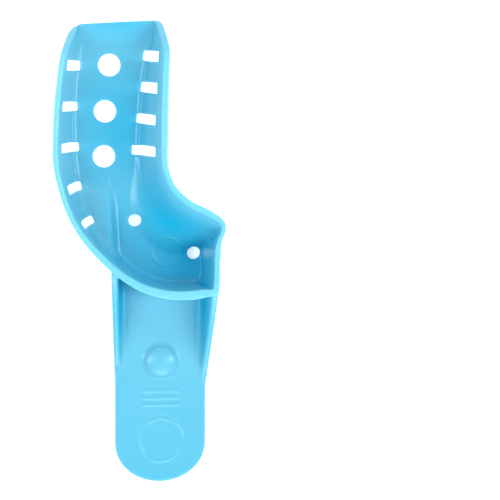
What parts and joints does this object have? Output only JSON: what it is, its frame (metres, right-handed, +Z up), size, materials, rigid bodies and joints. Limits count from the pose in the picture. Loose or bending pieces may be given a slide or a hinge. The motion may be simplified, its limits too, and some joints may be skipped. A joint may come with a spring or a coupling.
{
  "type": "dental impression tray",
  "caption": "Perforated quadrant impression tray: a curved open trough with flared walls, retention holes and slots, on a flat handle with a thumb dome.",
  "frame": {"origin": "middle of the tray's plan bounding box, on the plane of its flat underside", "axes": "+Z up out of the open trough, +Y from the handle's tip to the distal end of the trough, +X across the handle, towards the lingual side"},
  "size_m": [0.0392, 0.109, 0.013],
  "materials": {
    "tray_plastic": "sky-blue semi-gloss injection-moulded plastic, slightly translucent, uncoated"
  },
  "bodies": {
    "root": {"handle_blade": "tray_plastic", "thumb_dome": "tray_plastic", "left_gusset": "tray_plastic", "right_gusset": "tray_plastic", "labial_wall": "tray_plastic", "mesial_wall": "tray_plastic", "palatal_flange": "tray_plastic", "lingual_wall": "tray_plastic", "buccal_wall": "tray_plastic", "posterior_floor": "tray_plastic", "anterior_floor": "tray_plastic", "raised_floor": "tray_plastic", "step_riser": "tray_plastic", "distal_ramp": "tray_plastic"}
  },
  "joints": []
}
